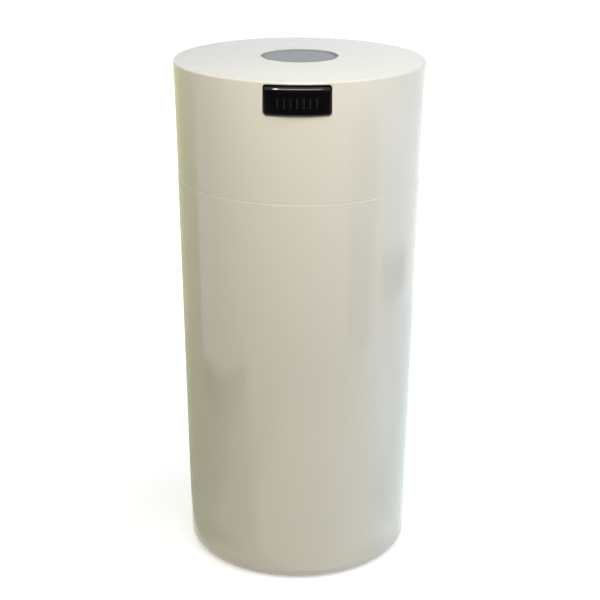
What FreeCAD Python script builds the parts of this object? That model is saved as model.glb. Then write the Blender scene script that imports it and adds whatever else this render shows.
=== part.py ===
import FreeCAD, Part
import math
import os

# Vacuum seal canister: a double-walled food jar whose tall lid works as a piston.
# Millimetres, +Z up, origin at the centre of the base, button facing -Y.

# Outer jacket
body_height = 216.0             # base to the shoulder that carries the lid
base_radius = 61.8              # outside, where the wall would meet the base
shoulder_radius = 65.8          # outside of the jacket at the seam
shell_wall = 2.4
shell_floor = 2.6
base_edge_radius = 6.0
foot_width = 7.0                # ring that the canister stands on
foot_recess = 0.8               # hollow inside that ring
shoulder_edge_radius = 0.5
shell_lip = 1.2                 # jacket left outside the liner's flange

# Food liner
liner_wall = 2.4
liner_floor = 2.6
liner_flange = 2.4              # hangs on the jacket's ledge
liner_flange_gap = 0.1
liner_floor_gap = 1.0
liner_side_gap = 0.8
liner_corner_radius = 6.0       # inside, between floor and wall
neck_headroom = 3.8             # neck's rim up to the button's flange
neck_edge_radius = 1.0

# Lid
lid_height = 64.0               # seam to the top of the crown
lid_top_radius = 67.0
lid_crown = 1.6                 # rise of the top from its edge to its middle
lid_wall = 2.6                  # skirt at its narrower end
lid_top_wall = 2.2              # top at its edge
lid_edge_radius = 0.9
lid_seam_inset = 0.2            # skirt inside the jacket's shoulder, at the seam
lid_seam_radius = 0.15
lid_lead_in = 0.6
neck_gap = 0.6                  # skirt's bore to the neck

# Badge
badge_radius = 20.4
badge_recess = 1.6              # at the crown
badge_thickness = 1.1           # likewise
badge_gap = 0.2
badge_edge_radius = 0.25
badge_rim = 0.9                 # edge to the groove
badge_groove_width = 0.7
badge_groove_depth = 0.25

# Plug that hangs from the lid into the neck
plug_depth = 18.0               # neck's rim down to the plug's underside
plug_clearance = 1.2
plug_wall = 2.4
plug_floor = 2.6
plug_edge_radius = 1.5
plug_ledge = 2.4                # plug below the seal's groove
notch_clearance = 1.0           # plug's front notch to the button's flange

# Lip seal
groove_height = 6.0
groove_depth = 3.2
seal_clearance = 0.1
seal_fit = 0.08                 # lip to the neck's bore
seal_wall = 1.6
seal_lip = 0.7
seal_land = 0.8

# Button in the lid's window
button_width = 33.4
button_height = 14.8
button_corner = 1.4
button_gap = 0.4
button_proud = 2.0              # face out of the skirt, at its foot
button_lean = 1.0               # how much less it stands out at its top
button_face_radius = 46.0       # face's curve, seen from above
button_brow_radius = 4.2        # rounding of the face into its top
button_brow_rise = 0.6          # crest of that rounding, above the button
button_edge_radius = 0.6
button_wall = 2.0
button_flange = 1.6
button_flange_lap = 2.0
button_seat = 1.5               # flange to the flat back that meets the slider
button_stroke = 4.0
window_margin = 0.1             # lid's rounded rim to the window's rounded edge
window_edge_radius = 0.3
rib_count = 7
rib_pitch = 3.2
rib_width = 0.9
rib_height = 5.0
rib_proud = 0.4
rib_edge_radius = 0.3
rib_drop = 1.1                  # below the button's middle
peg_radius = 1.5
peg_margin = 1.0                # peg to the slider's cheek and to its plate's end
peg_length = 2.2
peg_clearance = 0.05

# Slider behind the button
running_gap = 0.3
slider_height = 9.6
slider_drop = 1.0               # below the button's middle
slider_plate = 2.4
slider_width = 14.0
cheek_wall = 2.6
slider_back_wall = 2.2

# Vent valve
valve_lift = 2.0
stem_radius = 2.5
stem_back_gap = 1.5             # stem to the slider's back wall
stem_flange_radius = 5.5
stem_flange = 1.2
stem_spigot_radius = 2.0
stem_spigot = 1.8
stem_top_room = 2.0             # stem above the slider's middle
stem_clearance = 0.15
stopper_radius = 5.8
stopper_height = 3.0
stopper_edge_radius = 0.6
pin_radius = 1.0
pin_end_gap = 0.1
pin_clearance = 0.15
push_fit = 0.02                 # pin in the stem, spigot in the stopper
vent_radius = 2.6
nozzle_radius = 4.4
nozzle_height = 1.6

# Bridge that guides slider and stem
bridge_plate = 2.4
bridge_stop_gap = 0.4
rail_wall = 2.0
rail_lip = 1.2
rail_cap = 1.5
guide_wall = 1.2
guide_length = 6.5
bridge_boss_room = 1.5          # bridge's back to the lid's screw bosses
ear_radius = 4.2
ear_room = 4.5                  # screw's head to the rail
bridge_boss_radius = 3.5

# Springs
button_spring_length = 11.0
button_spring_radius = 3.2
button_spring_wire = 0.7
button_spring_turns = 5
valve_spring_radius = 4.8
valve_spring_wire = 0.6
valve_spring_turns = 6
spring_spigot_radius = 1.9
spring_spigot = 2.0

# Screws
screw_radius = 1.5
screw_hole_clearance = 0.15
screw_fit = 0.02
screw_cross_width = 0.8
screw_cross_depth = 0.8
lid_screw_count = 3
lid_screw_length = 12.0
lid_screw_inset = 7.4           # badge's edge to the screws' circle
lid_screw_head_radius = 2.9
lid_screw_head_sink = 0.1
lid_boss_radius = 3.8
bridge_screw_length = 8.0
bridge_screw_head_radius = 2.7
bridge_screw_head = 1.8
pilot_tail = 1.0                # pilot hole beyond the screw's tip

# Places that follow from the sizes
crown_z = body_height + lid_height
lid_edge_z = crown_z - lid_crown
lid_under_z = lid_edge_z - lid_top_wall
crown_sphere = (lid_top_radius ** 2 + lid_crown ** 2) / (2 * lid_crown)
ledge_z = body_height - liner_flange
shell_floor_z = foot_recess + shell_floor
liner_base_z = shell_floor_z + liner_floor_gap
food_floor_z = liner_base_z + liner_floor
seam_radius = shoulder_radius - lid_seam_inset
lid_bore = min(seam_radius, lid_top_radius) - lid_wall
neck_radius = lid_bore - neck_gap
neck_bore = neck_radius - liner_wall
badge_seat_z = crown_z - badge_recess

window_width = button_width + 2 * button_gap
window_height = button_height + 2 * button_gap
window_corner = button_corner + button_gap
skirt_lean = math.atan((lid_top_radius - seam_radius) / (lid_edge_z - body_height))
rim_angle = math.pi / 2 - skirt_lean + math.asin(lid_top_radius / crown_sphere)
rim_drop = lid_edge_radius / math.tan(rim_angle / 2) * math.cos(skirt_lean)
window_top_z = lid_edge_z - rim_drop - window_margin - window_edge_radius
button_z = window_top_z - window_height / 2
flange_outer = lid_bore - running_gap
flange_inner = flange_outer - button_flange
flange_half_width = window_width / 2 + button_flange_lap
flange_low_z = button_z - window_height / 2 - button_flange_lap
flange_high_z = lid_under_z - running_gap
button_back = flange_inner - button_seat

neck_rim_z = flange_low_z - neck_headroom
plug_base_z = neck_rim_z - plug_depth
plug_floor_z = plug_base_z + plug_floor
plug_radius = neck_bore - plug_clearance
plug_bore = plug_radius - plug_wall
groove_low_z = plug_base_z + plug_ledge
groove_high_z = groove_low_z + groove_height
groove_radius = plug_radius - groove_depth

slider_z = button_z - slider_drop
slider_low_z = slider_z - slider_height / 2
slider_high_z = slider_z + slider_height / 2
bridge_top_z = slider_low_z - running_gap
bridge_low_z = bridge_top_z - bridge_plate
peg_offset = slider_width / 2 + peg_margin + peg_radius
plate_back = button_back - slider_plate
bridge_front = plate_back - button_stroke - bridge_stop_gap
rail_inner = slider_width / 2 + running_gap
rail_outer = rail_inner + rail_wall
ear_offset = rail_outer + bridge_screw_head_radius + ear_room

lid_screw_circle = badge_radius - lid_screw_inset
lid_screw_angles = [90 + 360 / lid_screw_count * index for index in range(lid_screw_count)]
front_screw = max(-lid_screw_circle * math.sin(math.radians(angle)) for angle in lid_screw_angles)
boss_front = front_screw + lid_boss_radius
bridge_back = boss_front + bridge_boss_room
spring_seat = bridge_back + rail_wall
slider_back = spring_seat + button_spring_length
valve_offset = slider_back + slider_back_wall + stem_back_gap + stem_radius

nozzle_z = plug_floor_z + nozzle_height
stopper_top_z = nozzle_z + stopper_height
spring_low_z = stopper_top_z + stem_flange
stem_top_z = slider_z + stem_top_room
pin_z = slider_z - valve_lift / 2

outside = 2 * lid_top_radius    # reach of a cutter, clear of the whole part
up = FreeCAD.Vector(0, 0, 1)
along_x = FreeCAD.Vector(1, 0, 0)
along_y = FreeCAD.Vector(0, 1, 0)


def jacket_radius(z):
    """Outside of the tapered jacket at a height."""
    return base_radius + (shoulder_radius - base_radius) * z / body_height


def skirt_radius(z):
    """Outside of the lid's skirt at a height."""
    return seam_radius + math.tan(skirt_lean) * (z - body_height)


def radial_plane(u, w):
    """Profile plane: radius and height."""
    return FreeCAD.Vector(u, 0, w)


def outline(corners, place):
    """Closed wire through (u, w) or (u, w, rounding) corners, set in space by place."""
    points = [place(corner[0], corner[1]) for corner in corners]
    ends = []
    edges = []
    for index, corner in enumerate(corners):
        point = points[index]
        rounding = corner[2] if len(corner) == 3 else 0.0
        if rounding == 0.0:
            ends.append((point, point))
            continue
        before = (points[index - 1] - point).normalize()
        after = (points[(index + 1) % len(points)] - point).normalize()
        half_angle = before.getAngle(after) / 2
        reach = rounding / math.tan(half_angle)
        toward = (before + after).normalize()
        middle = point + toward * (rounding / math.sin(half_angle) - rounding)
        ends.append((point + before * reach, point + after * reach))
        edges.append(Part.Arc(ends[-1][0], middle, ends[-1][1]).toShape())
    for index, end in enumerate(ends):
        start = ends[index - 1][1]
        if start.distanceToPoint(end[0]) > Part.Precision.confusion():
            edges.append(Part.LineSegment(start, end[0]).toShape())
    return Part.Wire(Part.__sortEdges__(edges))


def turned(corners):
    """Solid of revolution about the canister's axis."""
    return Part.Face(outline(corners, radial_plane)).revolve(FreeCAD.Vector(), up, 360)


def box(x0, x1, y0, y1, z0, z1):
    return Part.makeBox(x1 - x0, y1 - y0, z1 - z0, FreeCAD.Vector(x0, y0, z0))


def side_box(side, inner, outer, y0, y1, z0, z1):
    """Box between two distances from the middle plane, on one side of it."""
    x0, x1 = sorted((side * inner, side * outer))
    return box(x0, x1, y0, y1, z0, z1)


def upright(x, y, z0, z1, radius):
    """Cylinder standing on z0."""
    return Part.makeCylinder(radius, z1 - z0, FreeCAD.Vector(x, y, z0), up)


def rounded_bar(width, height, corner, y0, y1, z):
    """Bar along Y with a rounded rectangular section about x = 0 and z."""
    half_width = width / 2
    half_height = height / 2
    corners = [
        (-half_width, z - half_height, corner),
        (half_width, z - half_height, corner),
        (half_width, z + half_height, corner),
        (-half_width, z + half_height, corner),
    ]
    section = Part.Face(outline(corners, lambda u, w: FreeCAD.Vector(u, y0, w)))
    return section.extrude(along_y * (y1 - y0))


def lid_screw_places():
    """Points of the lid's screw circle."""
    for angle in lid_screw_angles:
        turn = math.radians(angle)
        yield lid_screw_circle * math.cos(turn), lid_screw_circle * math.sin(turn)


def outer_shell():
    """Tapered jacket: rounded base on a foot ring, ledge inside its top for the liner."""
    rebate = shoulder_radius - shell_lip
    foot_inner = base_radius - base_edge_radius - foot_width
    inner_corner = max(base_edge_radius - shell_wall, shell_wall)
    return turned([
        (0, foot_recess),
        (foot_inner, foot_recess),
        (foot_inner, 0),
        (base_radius, 0, base_edge_radius),
        (shoulder_radius, body_height, shoulder_edge_radius),
        (rebate, body_height),
        (rebate, ledge_z),
        (jacket_radius(ledge_z) - shell_wall, ledge_z),
        (jacket_radius(shell_floor_z) - shell_wall, shell_floor_z, inner_corner),
        (0, shell_floor_z),
    ])


def inner_liner():
    """Food vessel: tapered pot, flange on the jacket's ledge, straight neck inside the skirt."""
    flange = shoulder_radius - shell_lip - liner_flange_gap
    pot = jacket_radius(liner_base_z) - shell_wall - liner_side_gap
    return turned([
        (0, liner_base_z),
        (pot, liner_base_z, liner_corner_radius + liner_wall),
        (neck_radius, ledge_z),
        (flange, ledge_z),
        (flange, body_height),
        (neck_radius, body_height),
        (neck_radius, neck_rim_z, neck_edge_radius),
        (neck_bore, neck_rim_z, neck_edge_radius),
        (neck_bore, ledge_z),
        (pot - liner_wall, food_floor_z, liner_corner_radius),
        (0, food_floor_z),
    ])


def seal_ring():
    """Rubber ring whose lip leans up and out: air leaves past it and can't come back."""
    inner = groove_radius + seal_clearance
    back = inner + seal_wall
    low = groove_low_z + seal_clearance
    high = groove_high_z - seal_clearance
    lip = neck_bore - seal_fit
    root = plug_radius - seal_lip
    return turned([
        (inner, low),
        (root, low),
        (lip, high - seal_land - seal_lip),
        (lip, high - seal_lip),
        (lip - seal_lip, high - seal_lip),
        (back, low + seal_wall),
        (back, high),
        (inner, high),
    ])


def lid_cap():
    """Lid: skirt on the jacket's shoulder, crowned top, badge recess, screw holes, button window."""
    lid = turned([
        (lid_bore + lid_lead_in, body_height),
        (seam_radius, body_height, lid_seam_radius),
        (skirt_radius(crown_z), crown_z),
        (0, crown_z),
        (0, lid_under_z),
        (lid_bore, lid_under_z),
        (lid_bore, body_height + lid_lead_in),
    ])
    crown = Part.makeSphere(crown_sphere, FreeCAD.Vector(0, 0, crown_z - crown_sphere))
    lid = lid.common(crown)
    rim = [edge for edge in lid.Edges
           if edge.BoundBox.ZMin > lid_under_z and edge.BoundBox.ZLength < lid_crown / 2]
    lid = lid.makeFillet(lid_edge_radius, rim)
    lid = lid.cut(upright(0, 0, badge_seat_z, crown_z + lid_crown, badge_radius + badge_gap))
    for x, y in lid_screw_places():
        hole = upright(x, y, lid_under_z - lid_top_wall, crown_z, screw_radius + screw_hole_clearance)
        sink_top = lid_screw_head_radius + screw_hole_clearance
        sink_low = screw_radius + screw_hole_clearance
        sink_depth = sink_top - sink_low
        place = FreeCAD.Vector(x, y, badge_seat_z - sink_depth)
        lid = lid.cut(hole).cut(Part.makeCone(sink_low, sink_top, sink_depth, place, up))
    window_back = button_back - button_stroke - running_gap
    lid = lid.cut(rounded_bar(window_width, window_height, window_corner, -outside, -window_back, button_z))
    lip = [edge for edge in lid.Edges if edge.BoundBox.YMax < -plug_bore and on_skirt(edge)]
    return lid.makeFillet(window_edge_radius, lip)


def on_skirt(edge):
    """True for an edge whose middle lies on the outside of the lid's skirt."""
    middle = edge.valueAt(sum(edge.ParameterRange) / 2)
    return abs(math.hypot(middle.x, middle.y) - skirt_radius(middle.z)) < window_edge_radius / 2


def badge():
    """Round badge: crowned like the lid and sunk a little below it, with a groove inside its rim."""
    dome_z = badge_seat_z + badge_thickness
    disc = upright(0, 0, badge_seat_z, crown_z, badge_radius)
    disc = disc.common(Part.makeSphere(crown_sphere, FreeCAD.Vector(0, 0, dome_z - crown_sphere)))
    rim = [edge for edge in disc.Edges
           if edge.BoundBox.ZMin > badge_seat_z and edge.BoundBox.ZLength < badge_edge_radius]
    disc = disc.makeFillet(badge_edge_radius, rim)
    groove_outer = badge_radius - badge_rim
    groove_inner = groove_outer - badge_groove_width
    groove_z = dome_z - groove_inner ** 2 / (2 * crown_sphere) - badge_groove_depth
    groove = upright(0, 0, groove_z, crown_z, groove_outer)
    groove = groove.cut(upright(0, 0, groove_z, crown_z, groove_inner))
    return disc.cut(groove)


def lid_plug():
    """Cup under the lid: seal groove, screw bosses, vent nozzle, notch for the button."""
    behind = groove_radius - plug_wall
    plug = turned([
        (0, plug_base_z),
        (plug_radius, plug_base_z, plug_edge_radius),
        (plug_radius, groove_low_z),
        (groove_radius, groove_low_z),
        (groove_radius, groove_high_z),
        (plug_radius, groove_high_z),
        (plug_radius, lid_under_z),
        (plug_bore, lid_under_z),
        (plug_bore, groove_high_z + plug_wall),
        (behind, groove_high_z + plug_wall),
        (behind, plug_floor_z),
        (0, plug_floor_z),
    ])
    root_z = plug_base_z + plug_floor / 2
    notch = flange_half_width + notch_clearance
    notch_z = flange_low_z - notch_clearance
    plug = plug.cut(box(-notch, notch, -outside, -boss_front, notch_z, crown_z))
    pilot = screw_radius + screw_fit
    for x, y in lid_screw_places():
        pilot_z = badge_seat_z - lid_screw_length - pilot_tail
        plug = plug.fuse(upright(x, y, root_z, lid_under_z, lid_boss_radius))
        plug = plug.cut(upright(x, y, pilot_z, lid_under_z, pilot))
    for side in (-1, 1):
        x = side * ear_offset
        pilot_z = bridge_top_z - bridge_screw_length - pilot_tail
        plug = plug.fuse(upright(x, -valve_offset, root_z, bridge_low_z, bridge_boss_radius))
        plug = plug.cut(upright(x, -valve_offset, pilot_z, bridge_low_z, pilot))
    plug = plug.fuse(upright(0, -valve_offset, root_z, nozzle_z, nozzle_radius))
    return plug.cut(upright(0, -valve_offset, plug_base_z, nozzle_z, vent_radius))


def button_barrel(grow):
    """Body whose front is the button's face, leaning in and rounded over at its top, grown by an amount."""
    front = skirt_radius(button_z) + button_proud
    foot = button_face_radius + grow
    low_z = button_z - button_height
    crest_z = button_z + button_height / 2 + button_brow_rise + grow
    barrel = turned([
        (0, low_z),
        (foot, low_z),
        (foot - button_lean, crest_z, button_brow_radius + grow),
        (0, crest_z),
    ])
    barrel.translate(FreeCAD.Vector(0, button_face_radius - front, 0))
    return barrel


def push_button():
    """Hollow button: bulging face with a row of grip ribs, flange behind the window, two pegs."""
    block = rounded_bar(button_width, button_height, button_corner, -outside, -button_back, button_z)
    block = block.common(button_barrel(0.0))
    front = [edge for edge in block.Edges if edge.BoundBox.YMax < -lid_bore + button_edge_radius]
    block = block.makeFillet(button_edge_radius, front)
    bar = rounded_bar(rib_width, rib_height, rib_width / 2, -outside, -lid_bore, button_z - rib_drop)
    grown = button_barrel(rib_proud)
    for index in range(rib_count):
        x = (index - (rib_count - 1) / 2) * rib_pitch
        rib = bar.translated(FreeCAD.Vector(x, 0, 0)).common(grown)
        crest = [edge for edge in rib.Edges if edge.BoundBox.YMax < -lid_bore - rib_width]
        block = block.fuse(rib.makeFillet(rib_edge_radius, crest))
    flange = turned([
        (flange_inner, flange_low_z),
        (flange_outer, flange_low_z),
        (flange_outer, flange_high_z),
        (flange_inner, flange_high_z),
    ])
    flange = flange.common(box(-flange_half_width, flange_half_width, -outside, 0, 0, crown_z))
    block = block.fuse(flange)
    inner_width = button_width - 2 * button_wall
    inner_height = button_height - 2 * button_wall
    hollow = rounded_bar(inner_width, inner_height, button_corner, -lid_bore, -button_back, button_z)
    block = block.cut(hollow)
    for side in (-1, 1):
        place = FreeCAD.Vector(side * peg_offset, -lid_bore - button_wall / 2, slider_z)
        peg_reach = button_back - peg_length
        block = block.fuse(Part.makeCylinder(peg_radius, -place.y - peg_reach, place, along_y))
    return block.removeSplitter()


def pin_slot():
    """Slanted slot through both cheeks: the pin rides up it as the slider goes in."""
    radius = pin_radius + pin_clearance
    run = FreeCAD.Vector(0, -button_stroke, valve_lift).normalize()
    across = FreeCAD.Vector(0, run.z, -run.y)
    low = FreeCAD.Vector(-slider_width, -valve_offset, pin_z) - run * (radius + pin_clearance)
    high = FreeCAD.Vector(-slider_width, -valve_offset - button_stroke, pin_z + valve_lift)
    high = high + run * (radius + pin_clearance)
    ends = [low - across * radius, high - across * radius, high + across * radius, low + across * radius]
    corners = [(end.y, end.z, radius) for end in ends]
    section = outline(corners, lambda u, w: FreeCAD.Vector(-slider_width, u, w))
    return Part.Face(section).extrude(along_x * (2 * slider_width))


def button_slider():
    """Slider: plate on the button's pegs, two cheeks with slanted slots, back wall for the spring."""
    half_plate = peg_offset + peg_radius + peg_margin
    half_width = slider_width / 2
    slider = box(-half_plate, half_plate, -button_back, -plate_back, slider_low_z, slider_high_z)
    inner = half_width - cheek_wall
    for side in (-1, 1):
        cheek = side_box(side, inner, half_width, -plate_back, -slider_back, slider_low_z, slider_high_z)
        place = FreeCAD.Vector(side * peg_offset, -button_back, slider_z)
        peg_hole = Part.makeCylinder(peg_radius + peg_clearance, slider_plate, place, along_y)
        slider = slider.fuse(cheek).cut(peg_hole)
    wall_y = -slider_back - slider_back_wall
    slider = slider.fuse(box(-half_width, half_width, wall_y, -slider_back, slider_low_z, slider_high_z))
    spigot = FreeCAD.Vector(0, -slider_back - slider_back_wall / 2, slider_z)
    reach = spring_spigot + slider_back_wall / 2
    slider = slider.fuse(Part.makeCylinder(spring_spigot_radius, reach, spigot, along_y))
    return slider.cut(pin_slot()).removeSplitter()


def valve_bridge():
    """Bridge: plate on two bosses, rails over the slider, spring seat, guide tube for the stem."""
    lip_low = slider_high_z + running_gap
    rail_top = lip_low + rail_cap
    ear_front = -valve_offset - ear_radius
    ear_back = -valve_offset + ear_radius
    lip_inner = rail_inner - rail_lip
    bridge = box(-rail_outer, rail_outer, -bridge_front, -bridge_back, bridge_low_z, bridge_top_z)
    bridge = bridge.fuse(box(-ear_offset, ear_offset, ear_front, ear_back, bridge_low_z, bridge_top_z))
    bridge = bridge.fuse(box(-rail_outer, rail_outer, -spring_seat, -bridge_back, bridge_low_z, rail_top))
    for side in (-1, 1):
        x = side * ear_offset
        ear = upright(x, -valve_offset, bridge_low_z, bridge_top_z, ear_radius)
        hole = upright(x, -valve_offset, bridge_low_z, bridge_top_z, screw_radius + screw_hole_clearance)
        rail = side_box(side, rail_inner, rail_outer, -bridge_front, -bridge_back, bridge_low_z, rail_top)
        lip = side_box(side, lip_inner, rail_outer, -bridge_front, -bridge_back, lip_low, rail_top)
        bridge = bridge.fuse([ear, rail, lip]).cut(hole)
    root = FreeCAD.Vector(0, -spring_seat + rail_wall / 2, slider_z)
    spigot = Part.makeCylinder(spring_spigot_radius, spring_spigot + rail_wall / 2, root, -along_y)
    guide_z = bridge_low_z - guide_length
    guide_bore = stem_radius + stem_clearance
    guide = upright(0, -valve_offset, guide_z, bridge_top_z, guide_bore + guide_wall)
    bore = upright(0, -valve_offset, guide_z, bridge_top_z, guide_bore)
    return bridge.fuse([spigot, guide]).cut(bore).removeSplitter()


def valve_stem():
    """Stem: rod through the guide, flange under the spring, spigot into the stopper, hole for the pin."""
    spigot = upright(0, -valve_offset, stopper_top_z - stem_spigot, spring_low_z, stem_spigot_radius)
    flange = upright(0, -valve_offset, stopper_top_z, spring_low_z, stem_flange_radius)
    rod = upright(0, -valve_offset, stopper_top_z, stem_top_z, stem_radius)
    place = FreeCAD.Vector(-stem_flange_radius, -valve_offset, pin_z)
    hole = Part.makeCylinder(pin_radius + push_fit, 2 * stem_flange_radius, place, along_x)
    return spigot.fuse([flange, rod]).cut(hole).removeSplitter()


def lift_pin():
    """Cross pin through the stem, riding in the slider's slots."""
    half_length = slider_width / 2 - pin_end_gap
    place = FreeCAD.Vector(-half_length, -valve_offset, pin_z)
    return Part.makeCylinder(pin_radius, 2 * half_length, place, along_x)


def valve_stopper():
    """Rubber pad that closes the nozzle."""
    stopper = turned([
        (0, nozzle_z),
        (stopper_radius, nozzle_z, stopper_edge_radius),
        (stopper_radius, stopper_top_z, stopper_edge_radius),
        (stem_spigot_radius + push_fit, stopper_top_z),
        (stem_spigot_radius + push_fit, stopper_top_z - stem_spigot - push_fit),
        (0, stopper_top_z - stem_spigot - push_fit),
    ])
    stopper.translate(FreeCAD.Vector(0, -valve_offset, 0))
    return stopper


def arc_towards(start, tangent, end):
    """Arc that leaves start along tangent and reaches end."""
    chord = end - start
    along = FreeCAD.Vector(chord).normalize()
    half_sweep = tangent.getAngle(along)
    side = (tangent - along * tangent.dot(along)).normalize()
    middle = start + chord * 0.5 + side * (chord.Length / 2 * math.tan(half_sweep / 2))
    return Part.Arc(start, middle, end).toShape()


def coil(radius, wire, turns, length):
    """Round-wire compression coil standing on z = 0: biarcs of a quarter turn each."""
    rise = length - wire
    steps = 4 * turns
    points = []
    tangents = []
    climb = rise / (turns * 2 * math.pi)
    for step in range(steps + 1):
        turn = step * math.pi / 2
        x = radius * math.cos(turn)
        y = radius * math.sin(turn)
        points.append(FreeCAD.Vector(x, y, wire / 2 + rise * step / steps))
        tangents.append(FreeCAD.Vector(-y, x, climb).normalize())
    edges = []
    for step in range(steps):
        chord = points[step + 1] - points[step]
        both = tangents[step] + tangents[step + 1]
        bend = 2 * (1 - tangents[step].dot(tangents[step + 1]))
        pull = (math.sqrt(chord.dot(both) ** 2 + bend * chord.dot(chord)) - chord.dot(both)) / bend
        joint = (points[step] + points[step + 1] + (tangents[step] - tangents[step + 1]) * pull) * 0.5
        edges.append(arc_towards(points[step], tangents[step], joint))
        back = arc_towards(points[step + 1], tangents[step + 1] * -1, joint)
        edges.append(back.reversed())
    print("coil gap", round(points[4].distanceToPoint(points[0]) - wire, 2))
    section = Part.Wire(Part.Circle(points[0], tangents[0], wire / 2).toShape())
    return Part.Wire(edges).makePipeShell([section], True, False)


def button_spring():
    """Return spring, lying along Y between the bridge and the slider's back wall."""
    spring = coil(button_spring_radius, button_spring_wire, button_spring_turns, button_spring_length)
    spring.rotate(FreeCAD.Vector(), along_x, 90)
    spring.translate(FreeCAD.Vector(0, -spring_seat, slider_z))
    return spring


def valve_spring():
    """Spring round the guide tube that holds the stopper on its nozzle."""
    spring = coil(valve_spring_radius, valve_spring_wire, valve_spring_turns, bridge_low_z - spring_low_z)
    spring.translate(FreeCAD.Vector(0, -valve_offset, spring_low_z))
    return spring


def screw_cross(z):
    """Cutter for a cross recess in a head whose top is at z."""
    reach = screw_radius
    half = screw_cross_width / 2
    low = z - screw_cross_depth
    return box(-reach, reach, -half, half, low, z).fuse(box(-half, half, -reach, reach, low, z))


def lid_screws():
    """Countersunk screws that pull the plug up against the lid."""
    top = badge_seat_z - lid_screw_head_sink
    sink = lid_screw_head_radius - screw_radius
    screw = turned([
        (0, badge_seat_z - lid_screw_length),
        (screw_radius, badge_seat_z - lid_screw_length),
        (screw_radius, top - sink),
        (lid_screw_head_radius, top),
        (0, top),
    ]).cut(screw_cross(top))
    return Part.makeCompound([screw.translated(FreeCAD.Vector(x, y, 0)) for x, y in lid_screw_places()])


def bridge_screws():
    """Pan-head screws that hold the bridge on its bosses."""
    top = bridge_top_z + bridge_screw_head
    screw = turned([
        (0, bridge_top_z - bridge_screw_length),
        (screw_radius, bridge_top_z - bridge_screw_length),
        (screw_radius, bridge_top_z),
        (bridge_screw_head_radius, bridge_top_z),
        (bridge_screw_head_radius, top, bridge_screw_head / 2),
        (0, top),
    ]).cut(screw_cross(top))
    places = [FreeCAD.Vector(side * ear_offset, -valve_offset, 0) for side in (-1, 1)]
    return Part.makeCompound([screw.translated(place) for place in places])


pieces = [
    outer_shell, inner_liner, seal_ring, lid_cap, lid_plug, badge, lid_screws, push_button, button_slider,
    button_spring, valve_bridge, bridge_screws, valve_stem, lift_pin, valve_stopper, valve_spring,
]
os.makedirs("parts", exist_ok=True)
for piece in pieces:
    shape = piece()
    shape.exportStep("parts/" + piece.__name__ + ".step")
    print(piece.__name__, len(shape.Solids), shape.isValid(), round(shape.Volume, 1))
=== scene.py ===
import math

import bmesh
import bpy
from mathutils import Matrix, Vector


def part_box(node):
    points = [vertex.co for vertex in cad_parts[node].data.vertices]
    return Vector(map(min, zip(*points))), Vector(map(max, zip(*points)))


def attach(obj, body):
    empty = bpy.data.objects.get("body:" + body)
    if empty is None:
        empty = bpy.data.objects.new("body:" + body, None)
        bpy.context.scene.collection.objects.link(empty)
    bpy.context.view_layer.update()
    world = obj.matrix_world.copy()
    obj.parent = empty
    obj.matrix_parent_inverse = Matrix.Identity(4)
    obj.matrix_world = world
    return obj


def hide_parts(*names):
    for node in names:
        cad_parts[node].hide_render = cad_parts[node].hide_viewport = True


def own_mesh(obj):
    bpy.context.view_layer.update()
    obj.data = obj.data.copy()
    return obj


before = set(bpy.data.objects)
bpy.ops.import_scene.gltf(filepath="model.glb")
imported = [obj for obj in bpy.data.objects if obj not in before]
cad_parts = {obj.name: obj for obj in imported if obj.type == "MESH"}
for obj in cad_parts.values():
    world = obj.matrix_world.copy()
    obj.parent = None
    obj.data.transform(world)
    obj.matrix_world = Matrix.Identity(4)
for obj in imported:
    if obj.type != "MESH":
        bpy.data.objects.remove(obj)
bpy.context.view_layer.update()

# Outer jacket
# A tapered cup moulded in glossy cream-white plastic, with a rounded base edge on a foot ring.
# It stands on that ring, which shelves have scuffed, and carries the liner on a ledge at its top.


def feed(tree, node, feeds):
    """Gives a node's inputs their values, or links them to the outputs that they follow."""
    for name, source in feeds.items():
        if isinstance(source, bpy.types.NodeSocket):
            tree.links.new(source, node.inputs[name])
        else:
            node.inputs[name].default_value = source


def add_node(tree, kind, feeds, **settings):
    """New shader node with what feeds its inputs, and settings for its properties."""
    node = tree.nodes.new("ShaderNode" + kind)
    for name, setting in settings.items():
        setattr(node, name, setting)
    feed(tree, node, feeds)
    return node


def new_group(name, inputs, outputs):
    """Empty shader group with named sockets, given as (name, kind) pairs."""
    group = bpy.data.node_groups.new(name, "ShaderNodeTree")
    for direction, sockets in (("INPUT", inputs), ("OUTPUT", outputs)):
        for socket, kind in sockets:
            group.interface.new_socket(socket, in_out=direction, socket_type="NodeSocket" + kind)
    return group, group.nodes.new("NodeGroupInput"), group.nodes.new("NodeGroupOutput")


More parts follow.
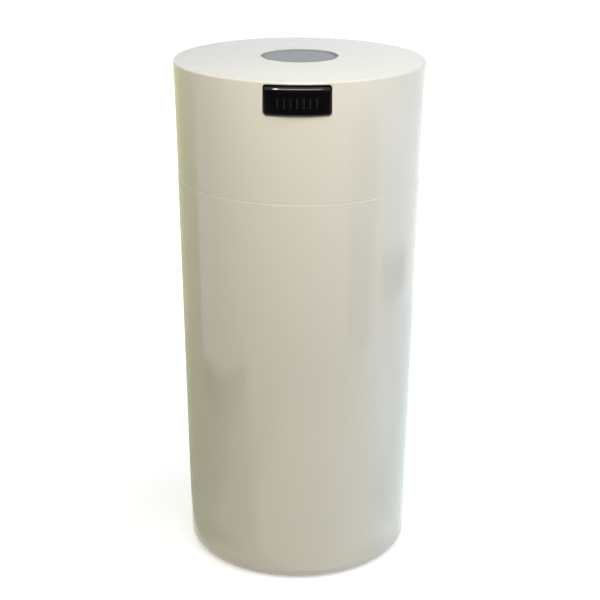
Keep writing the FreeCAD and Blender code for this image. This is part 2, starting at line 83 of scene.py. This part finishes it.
def moulded_skin():
    """Group for a moulded surface: clouded colour, rubbed gloss and a fine uneven skin."""
    clouds_per_metre = 14.0
    rubs_per_metre = 45.0
    noise_middle = 0.5
    inputs = [("Colour", "Color"), ("Cloud", "Color"), ("Roughness", "Float"), ("Rub", "Float"),
              ("Grain", "Float")]
    outputs = [("Colour", "Color"), ("Roughness", "Float"), ("Height", "Float")]
    group, source, result = new_group("moulded_skin", inputs, outputs)
    given = source.outputs
    place = add_node(group, "TexCoord", {}).outputs["Object"]

    cloud = add_node(group, "TexNoise", {"Vector": place, "Scale": clouds_per_metre, "Detail": 3.0})
    clouded = add_node(
        group, "Mix", {"Factor": cloud.outputs["Fac"], "A": given["Colour"], "B": given["Cloud"]},
        data_type="RGBA",
    )

    rub = add_node(
        group, "TexNoise", {"Vector": place, "Scale": rubs_per_metre, "Detail": 6.0, "Distortion": 0.6}
    )
    centred = add_node(group, "Math", {0: rub.outputs["Fac"], 1: noise_middle}, operation="SUBTRACT")
    gloss = add_node(
        group, "Math", {0: centred.outputs["Value"], 1: given["Rub"], 2: given["Roughness"]},
        operation="MULTIPLY_ADD",
    )

    grain = add_node(group, "TexNoise", {"Vector": place, "Scale": given["Grain"], "Detail": 2.0})
    feed(group, result, {
        "Colour": clouded.outputs["Result"],
        "Roughness": gloss.outputs["Value"],
        "Height": grain.outputs["Fac"],
    })
    return group


skin = moulded_skin()


def new_material(name):
    """New material, with its node tree and its main shader."""
    material = bpy.data.materials.new(name)
    material.use_nodes = True
    return material, material.node_tree, material.node_tree.nodes["Principled BSDF"]


def moulded_plastic(name, colour, cloud, roughness, rub, grain, depth, specular=0.5):
    """Plastic with the moulded skin; grain is per metre and depth in metres."""
    plastic_ior = 1.49
    material, tree, shader = new_material(name)
    surface = add_node(tree, "Group", {
        "Colour": (*colour, 1.0),
        "Cloud": (*cloud, 1.0),
        "Roughness": roughness,
        "Rub": rub,
        "Grain": grain,
    }, node_tree=skin)
    bump = add_node(tree, "Bump", {"Height": surface.outputs["Height"], "Distance": depth})
    feed(tree, shader, {
        "IOR": plastic_ior,
        "Specular IOR Level": specular,
        "Base Color": surface.outputs["Colour"],
        "Roughness": surface.outputs["Roughness"],
        "Normal": bump.outputs["Normal"],
    })
    return material


def scuff_foot(material, height, dirt, dulling):
    """Adds scuffs that fade out at a height above the floor: a grey tint and a duller gloss."""
    specks_per_metre = 350.0
    speck_start, speck_full = 0.5, 0.62
    tree = material.node_tree
    shader = tree.nodes["Principled BSDF"]
    colour = shader.inputs["Base Color"].links[0].from_socket
    roughness = shader.inputs["Roughness"].links[0].from_socket
    place = add_node(tree, "TexCoord", {}).outputs["Object"]
    split = add_node(tree, "SeparateXYZ", {"Vector": place})
    fade = add_node(
        tree, "MapRange", {"Value": split.outputs["Z"], "From Max": height, "To Min": 1.0, "To Max": 0.0}
    )
    specks = add_node(
        tree, "TexNoise", {"Vector": place, "Scale": specks_per_metre, "Detail": 8.0, "Distortion": 1.5}
    )
    sparse = add_node(
        tree, "MapRange", {"Value": specks.outputs["Fac"], "From Min": speck_start, "From Max": speck_full}
    )
    scuff = add_node(
        tree, "Math", {0: fade.outputs["Result"], 1: sparse.outputs["Result"]}, operation="MULTIPLY"
    ).outputs["Value"]
    shade = add_node(tree, "Mix", {"Factor": scuff, "A": colour, "B": (*dirt, 1.0)}, data_type="RGBA")
    dull = add_node(tree, "Math", {0: scuff, 1: dulling, 2: roughness}, operation="MULTIPLY_ADD")
    feed(tree, shader, {"Base Color": shade.outputs["Result"], "Roughness": dull.outputs["Value"]})


def dress(name, material):
    """Gives a carried-over solid its finish."""
    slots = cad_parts[name].data.materials
    slots.clear()
    slots.append(material)


cream = (0.80, 0.756, 0.63)
cream_cloud = (0.785, 0.741, 0.611)
foot_dirt = (0.62, 0.59, 0.52)
jacket_white = moulded_plastic(
    "jacket_white", cream, cream_cloud, roughness=0.12, rub=0.04, grain=700.0, depth=0.000008
)
scuff_foot(jacket_white, height=0.004, dirt=foot_dirt, dulling=0.2)
dress("outer_shell", jacket_white)

# Food liner
# The pot that holds the food, moulded in satin white plastic that is safe for it.
# It hangs in the jacket by its flange, and its neck stands up inside the lid's skirt.
milk = (0.79, 0.78, 0.73)
milk_cloud = (0.77, 0.76, 0.70)
liner_white = moulded_plastic(
    "liner_white", milk, milk_cloud, roughness=0.36, rub=0.08, grain=900.0, depth=0.00002
)
dress("inner_liner", liner_white)

# Plug under the lid
# A cup of the liner's plastic that goes down into the neck like a piston.
# Three screws pull it up against the lid, and its floor carries the vent's nozzle.
dress("lid_plug", liner_white)

# Lip seal
# A soft ring of grey silicone in the plug's groove, moulded with a fine matt skin.
# Its lip leans out and up to the neck, so that air leaves past it and can't come back.
silicone = (0.30, 0.30, 0.29)
silicone_cloud = (0.26, 0.26, 0.25)
seal_rubber = moulded_plastic(
    "seal_rubber", silicone, silicone_cloud, roughness=0.55, rub=0.1, grain=1500.0, depth=0.00003
)
dress("seal_ring", seal_rubber)

# Vent valve
# A stem of natural bearing plastic with a rubber stopper pushed on its spigot.
# A steel pin through the stem rides in the slider's slanted slots and lifts it.
natural = (0.72, 0.71, 0.66)
natural_cloud = (0.70, 0.69, 0.64)
bearing_plastic = moulded_plastic(
    "bearing_plastic", natural, natural_cloud, roughness=0.4, rub=0.1, grain=900.0, depth=0.00002
)
dress("valve_stem", bearing_plastic)
dress("valve_stopper", seal_rubber)


def drawn_steel(name, colour, worn, roughness, grain):
    """Bright metal with fine streaks in its gloss; grain is per metre."""
    gloss_spread = 0.3
    streak_depth = 0.00001
    material, tree, shader = new_material(name)
    place = add_node(tree, "TexCoord", {}).outputs["Object"]
    streaks = add_node(tree, "TexNoise", {"Vector": place, "Scale": grain, "Detail": 5.0}).outputs["Fac"]
    shade = add_node(
        tree, "Mix", {"Factor": streaks, "A": (*colour, 1.0), "B": (*worn, 1.0)}, data_type="RGBA"
    )
    gloss = add_node(tree, "MapRange", {
        "Value": streaks,
        "To Min": roughness * (1.0 - gloss_spread),
        "To Max": roughness * (1.0 + gloss_spread),
    })
    bump = add_node(tree, "Bump", {"Height": streaks, "Distance": streak_depth})
    feed(tree, shader, {
        "Metallic": 1.0,
        "Base Color": shade.outputs["Result"],
        "Roughness": gloss.outputs["Result"],
        "Normal": bump.outputs["Normal"],
    })
    return material


wire_bright = (0.62, 0.62, 0.63)
wire_worn = (0.52, 0.52, 0.53)
spring_steel = drawn_steel("spring_steel", wire_bright, wire_worn, roughness=0.2, grain=2500.0)
dress("lift_pin", spring_steel)

# Bridge and slider
# The frame that guides the button's slider and the valve's stem, and the slider itself.
# Both are moulded in the same bearing plastic, and the bridge is screwed to two bosses.
dress("valve_bridge", bearing_plastic)
dress("button_slider", bearing_plastic)

# Springs
# Two compression coils of bright drawn wire, one behind the slider and one round the stem's guide.
# The button's spring brings it back out, and the valve's spring holds the stopper on its nozzle.


def mesh_object(name, mesh, material):
    """Object at the origin made of a finished mesh, in one material."""
    data = bpy.data.meshes.new(name)
    mesh.to_mesh(data)
    mesh.free()
    data.materials.append(material)
    made = bpy.data.objects.new(name, data)
    bpy.context.scene.collection.objects.link(made)
    return made


def coil_spring(node, axis, wire, turns):
    """Coil in the place of a node, lying along an axis."""
    wire_sides = 12
    steps_in_turn = 32
    low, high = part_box(node)
    along = Vector(axis)
    length = (high - low).dot(along)
    radius = (high.x - low.x - wire) / 2
    rise = length - wire
    steps = turns * steps_in_turn
    start = (low + high) / 2 - along * rise / 2
    mesh = bmesh.new()
    ring = bmesh.ops.create_circle(mesh, radius=wire / 2, segments=wire_sides)["verts"]
    facing = along.cross(Vector((1.0, 0.0, 0.0)))
    lay = Vector((0.0, 0.0, 1.0)).rotation_difference(facing).to_matrix()
    bmesh.ops.rotate(mesh, verts=ring, matrix=lay)
    bmesh.ops.translate(mesh, verts=ring, vec=start + Vector((radius, 0.0, 0.0)))
    bmesh.ops.spin(
        mesh, geom=ring + mesh.edges[:], cent=start, axis=along,
        dvec=along * rise / steps, angle=turns * math.tau, steps=steps,
    )
    bmesh.ops.holes_fill(mesh, edges=[edge for edge in mesh.edges if edge.is_boundary])
    bmesh.ops.recalc_face_normals(mesh, faces=mesh.faces[:])
    for face in mesh.faces:
        face.smooth = len(face.verts) == 4
    coil = mesh_object(node + "_coil", mesh, spring_steel)
    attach(coil, "lid")
    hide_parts(node)
    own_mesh(coil)


coil_spring("button_spring", (0.0, 1.0, 0.0), wire=0.0007, turns=5)
coil_spring("valve_spring", (0.0, 0.0, 1.0), wire=0.0006, turns=6)

# Screws
# Zinc-plated screws with cross heads: three under the badge and two on the bridge's ears.
# Plating leaves them greyer and a little duller than the wire.
zinc_bright = (0.55, 0.55, 0.54)
zinc_worn = (0.42, 0.42, 0.40)
zinc_plate = drawn_steel("zinc_plate", zinc_bright, zinc_worn, roughness=0.42, grain=1800.0)
dress("lid_screws", zinc_plate)
dress("bridge_screws", zinc_plate)

# Lid
# A tall cap moulded like the jacket, with a gently crowned top and a window for the button.
# Its skirt comes down flush on the jacket's shoulder, which shows as one thin seam.
dress("lid_cap", jacket_white)

# Badge
# A round satin-grey disc pressed into the recess in the lid's top, over the screws.
# It is turned with fine rings, inside one groove and a plain rim.


def turned_rings(material, worn, pitch):
    """Tints a disc in fine uneven rings round the axis, as turning leaves them."""
    level_part = (1.0, 1.0, 0.0)
    tree = material.node_tree
    shader = tree.nodes["Principled BSDF"]
    colour = shader.inputs["Base Color"].links[0].from_socket
    place = add_node(tree, "TexCoord", {}).outputs["Object"]
    level = add_node(tree, "VectorMath", {0: place, 1: level_part}, operation="MULTIPLY")
    radius = add_node(tree, "VectorMath", {0: level.outputs["Vector"]}, operation="LENGTH")
    rings = add_node(
        tree, "TexNoise", {"W": radius.outputs["Value"], "Scale": 1.0 / pitch, "Detail": 2.0},
        noise_dimensions="1D",
    )
    shade = add_node(
        tree, "Mix", {"Factor": rings.outputs["Fac"], "A": colour, "B": (*worn, 1.0)}, data_type="RGBA"
    )
    feed(tree, shader, {"Base Color": shade.outputs["Result"]})


slate = (0.22, 0.22, 0.216)
slate_cloud = (0.205, 0.205, 0.201)
slate_ring = (0.14, 0.14, 0.137)
badge_grey = moulded_plastic(
    "badge_grey", slate, slate_cloud, roughness=0.34, rub=0.06, grain=2000.0, depth=0.000004
)
turned_rings(badge_grey, slate_ring, pitch=0.001)
dress("badge", badge_grey)

# Button
# A glossy black moulding that stands out of the lid's window, with a row of grip ribs.
# It slides on the bridge with its slider, and pressing it opens the vent.
jet = (0.003, 0.0026, 0.0026)
jet_cloud = (0.004, 0.0034, 0.0034)
button_black = moulded_plastic(
    "button_black", jet, jet_cloud, roughness=0.06, rub=0.03, grain=900.0, depth=0.000005, specular=0.4
)
dress("push_button", button_black)

# Studio floor and backdrop
# A plain pale floor that runs out of sight, under an even white backdrop.
# Both are white to the eye and in reflections, and the floor keeps the canister's shadow.


def seen_ray(tree):
    """1 for rays from the camera and through mirrors or glass, 0 for rays of light."""
    path = add_node(tree, "LightPath", {}).outputs
    mirror = add_node(
        tree, "Math", {0: path["Is Glossy Ray"], 1: path["Is Transmission Ray"]}, operation="MAXIMUM"
    )
    seen = add_node(
        tree, "Math", {0: path["Is Camera Ray"], 1: mirror.outputs["Value"]}, operation="MAXIMUM"
    )
    return seen.outputs["Value"]


white = (1.0, 1.0, 1.0, 1.0)
floor_half = 6.0
floor_grey = (0.8, 0.8, 0.8, 1.0)
# The floor's white is a painted glow for the camera and in reflections. It is at half strength near the
# canister, where its lit shading and shadow show through, and at full strength from half a metre out.
near_glow = 0.5
near_radius, far_radius = 0.1, 0.5
floor_paper, floor_tree, floor_shader = new_material("floor_paper")
feed(floor_tree, floor_shader, {"Base Color": floor_grey, "Roughness": 0.9, "Specular IOR Level": 0.0})
floor_place = add_node(floor_tree, "TexCoord", {}).outputs["Object"]
floor_distance = add_node(floor_tree, "VectorMath", {0: floor_place}, operation="LENGTH")
floor_fade = add_node(floor_tree, "MapRange", {
    "Value": floor_distance.outputs["Value"],
    "From Min": near_radius,
    "From Max": far_radius,
    "To Min": near_glow,
})
floor_level = add_node(
    floor_tree, "Math", {0: seen_ray(floor_tree), 1: floor_fade.outputs["Result"]}, operation="MULTIPLY"
)
floor_white = add_node(
    floor_tree, "Emission", {"Color": white, "Strength": floor_level.outputs["Value"]}
)
floor_sum = add_node(
    floor_tree, "AddShader", {0: floor_shader.outputs["BSDF"], 1: floor_white.outputs["Emission"]}
)
feed(floor_tree, floor_tree.nodes["Material Output"], {"Surface": floor_sum.outputs["Shader"]})
floor_mesh = bmesh.new()
bmesh.ops.create_grid(floor_mesh, x_segments=1, y_segments=1, size=floor_half)
mesh_object("floor", floor_mesh, floor_paper)

fill_light = (0.17, 0.17, 0.09, 1.0)
world = bpy.data.worlds.new("studio")
bpy.context.scene.world = world
world.use_nodes = True
world_tree = world.node_tree
fill_or_white = add_node(
    world_tree, "Mix", {"Factor": seen_ray(world_tree), "A": fill_light, "B": white}, data_type="RGBA"
)
feed(world_tree, world_tree.nodes["Background"], {"Color": fill_or_white.outputs["Result"]})

# Lamps
# Soft boxes as in a small studio: two above the lid, one in front, two at the right and one behind.
# Two more show in reflections alone and draw the streak along the button's brow.


def softbox(name, azimuth, distance, height, width, tall, brightness, aim, lights=True, mirrored=True):
    """Box lamp at an azimuth from the camera's side, turned to a height on the axis.

    Brightness is what it gives off for its area, where 1 is as bright as white paper.
    """
    turn = math.radians(azimuth)
    place = Vector((distance * math.sin(turn), -distance * math.cos(turn), height))
    data = bpy.data.lights.new(name, "AREA")
    data.shape = "RECTANGLE"
    data.size = width
    data.size_y = tall
    strongest = max(brightness)
    data.energy = strongest * math.pi * width * tall
    data.color = [part / strongest for part in brightness]
    lamp = bpy.data.objects.new(name, data)
    bpy.context.scene.collection.objects.link(lamp)
    lamp.location = place
    lamp.rotation_euler = (Vector((0.0, 0.0, aim)) - place).to_track_quat("-Z", "Y").to_euler()
    lamp.visible_diffuse = lights
    lamp.visible_glossy = mirrored


waist = 0.14
brow = 0.26
side_height = 0.72
# Name, azimuth in degrees, distance, height, the box's width and height, brightness and aim.
room_lamps = (
    ("over_box", 35, 0.35, 0.8, 0.6, 0.4, (1.22, 1.27, 1.75), waist),
    ("low_box", 0, 0.25, 0.45, 0.5, 0.2, (2.68, 2.6, 2.68), waist),
    ("front_box", 35, 1.3, 1.0, 0.8, 0.8, (0.74, 0.6, 0.45), waist),
    ("right_box", 95, 1.1, side_height, 0.7, 1.4, (1.13, 1.45, 2.25), side_height),
    ("right_back_box", 130, 1.1, side_height, 0.7, 1.4, (0.1, 0.27, 0.3), side_height),
    ("back_box", -160, 1.2, 0.5, 1.2, 1.0, (2.3, 2.3, 2.5), waist),
)
streak_lamps = (
    ("streak_box", 0, 0.7, 0.95, 0.95, 0.16, (11.0, 10.6, 10.0), brow),
    ("streak_end", -33, 0.83, 0.95, 0.1, 0.16, (45.0, 45.0, 45.0), brow),
)
for lamp_values in room_lamps:
    softbox(*lamp_values, mirrored=False)
for lamp_values in streak_lamps:
    softbox(*lamp_values, lights=False)

# Reflection cards
# Glowing cards that paint reflections into the gloss, in the place of the paper that a photographer
# sets round a glossy white object so that its gloss has shapes to show. Cards stand or hang, and sheets
# lie on the floor; they glow though they are no lamps, light nothing and show in reflections alone.


def painted_reflection(name, first_glow, last_glow, axis, start, end):
    """Glow for a card's painted reflection, going from one colour to another between two places on an
    axis.
    """
    material, tree, _ = new_material(name)
    place = add_node(tree, "TexCoord", {}).outputs["Object"]
    split = add_node(tree, "SeparateXYZ", {"Vector": place})
    level = add_node(tree, "MapRange", {"Value": split.outputs[axis], "From Min": start, "From Max": end})
    shade = add_node(
        tree, "Mix",
        {"Factor": level.outputs["Result"], "A": (*first_glow, 1.0), "B": (*last_glow, 1.0)},
        data_type="RGBA",
    )
    glow = add_node(tree, "Emission", {"Color": shade.outputs["Result"]})
    feed(tree, tree.nodes["Material Output"], {"Surface": glow.outputs["Emission"]})
    return material


def reflection_card(
    name, azimuth, distance, width, tall, first_glow, last_glow=None, lift=0.0, flat=False, fade="Z"
):
    """Card that stands facing the axis, lifted off the floor, or lies flat and points away from it.

    Its glow fades up it or, for a card straight behind or in front, across it from left to right.
    """
    mesh = bmesh.new()
    corners = bmesh.ops.create_grid(mesh, x_segments=1, y_segments=1, size=0.5)["verts"]
    bmesh.ops.scale(mesh, verts=corners, vec=(width, tall, 1.0))
    if flat:
        middle = (0.0, -distance - tall / 2, lift)
    else:
        bmesh.ops.rotate(mesh, verts=corners, matrix=Matrix.Rotation(math.pi / 2, 3, "X"))
        middle = (0.0, -distance, lift + tall / 2)
    bmesh.ops.translate(mesh, verts=corners, vec=middle)
    bmesh.ops.rotate(mesh, verts=corners, matrix=Matrix.Rotation(math.radians(azimuth), 3, "Z"))
    span = {"X": (-width / 2, width / 2), "Z": (0.0, tall)}[fade]
    paper = painted_reflection(name + "_paper", first_glow, last_glow or first_glow, fade, *span)
    card = mesh_object(name, mesh, paper)
    card.visible_camera = False
    card.visible_diffuse = False
    card.visible_shadow = False


# The front card and the left bar paint dark reflections. The other cards paint pale and tinted ones: an
# olive sheen up the jacket's left, and the lid's top lighter to the right from the back card.
grey_glow = (0.6, 0.6, 0.65)
reflection_card("front_card", 0, 1.5, 4.4, 1.0, (0.03, 0.03, 0.03), (0.05, 0.05, 0.05))
reflection_card(
    "back_card", 180, 0.8, 0.4, 0.6, (0.75, 0.81, 0.88), (1.12, 1.18, 1.25), lift=0.2, fade="X"
)
reflection_card("left_card", -140, 0.08, 0.22, 0.27, (0.40, 0.42, 0.31), (0.94, 0.98, 0.56))
reflection_card("left_bar", -76, 0.25, 0.28, 0.03, (0.1, 0.1, 0.08))
reflection_card("right_card", 57, 0.3, 0.14, 0.17, grey_glow, lift=0.03)
reflection_card("right_bar", 98, 0.3, 0.2, 0.035, grey_glow, lift=0.06)
# The floor sheets paint bright reflections low on the jacket, and a dimmer olive one at its left.
# Name, azimuth in degrees, distance, width, length, glow and height above the floor.
floor_sheets = (
    ("left_sheet", -80, 0.07, 0.2, 0.2, (0.45, 0.48, 0.38), 0.0005),
    ("left_front_sheet", -50, 0.092, 0.08, 0.18, (0.9, 0.9, 0.79), 0.0008),
    ("front_sheet", 15, 0.07, 0.24, 0.2, (1.9, 1.82, 1.75), 0.0005),
    ("right_sheet", 76, 0.075, 0.2, 0.34, (1.65, 1.85, 1.95), 0.001),
    ("right_back_sheet", 135, 0.045, 0.26, 0.375, (1.2, 1.34, 1.38), 0.0015),
)
for *sheet, lift in floor_sheets:
    reflection_card(*sheet, lift=lift, flat=True)

# Camera
# The photograph's view: a little above the lid, almost straight at the button, on a long lens.
# Distance and height are to the canister's axis and the floor, and the angles are the camera's own.
camera_distance = 0.7855
camera_height = 0.4194
camera_azimuth = math.radians(0.95)
camera_pitch = 0.33899
camera_roll = 0.0051
camera_yaw = 0.00108
focal_pixels = 1485.5
frame_pixels = 600
camera_data = bpy.data.cameras.new("camera")
camera_data.sensor_width = 36.0
camera_data.lens = camera_data.sensor_width * focal_pixels / frame_pixels
camera = bpy.data.objects.new("camera", camera_data)
bpy.context.scene.collection.objects.link(camera)
heading = Matrix.Rotation(camera_azimuth - camera_yaw, 3, "Z")
tilt = Matrix.Rotation(math.pi / 2 - camera_pitch, 3, "X")
camera.matrix_world = (heading @ tilt @ Matrix.Rotation(camera_roll, 3, "Z")).to_4x4()
camera.location = (
    camera_distance * math.sin(camera_azimuth),
    -camera_distance * math.cos(camera_azimuth),
    camera_height,
)
bpy.context.scene.camera = camera
bpy.context.scene.view_settings.view_transform = "Standard"
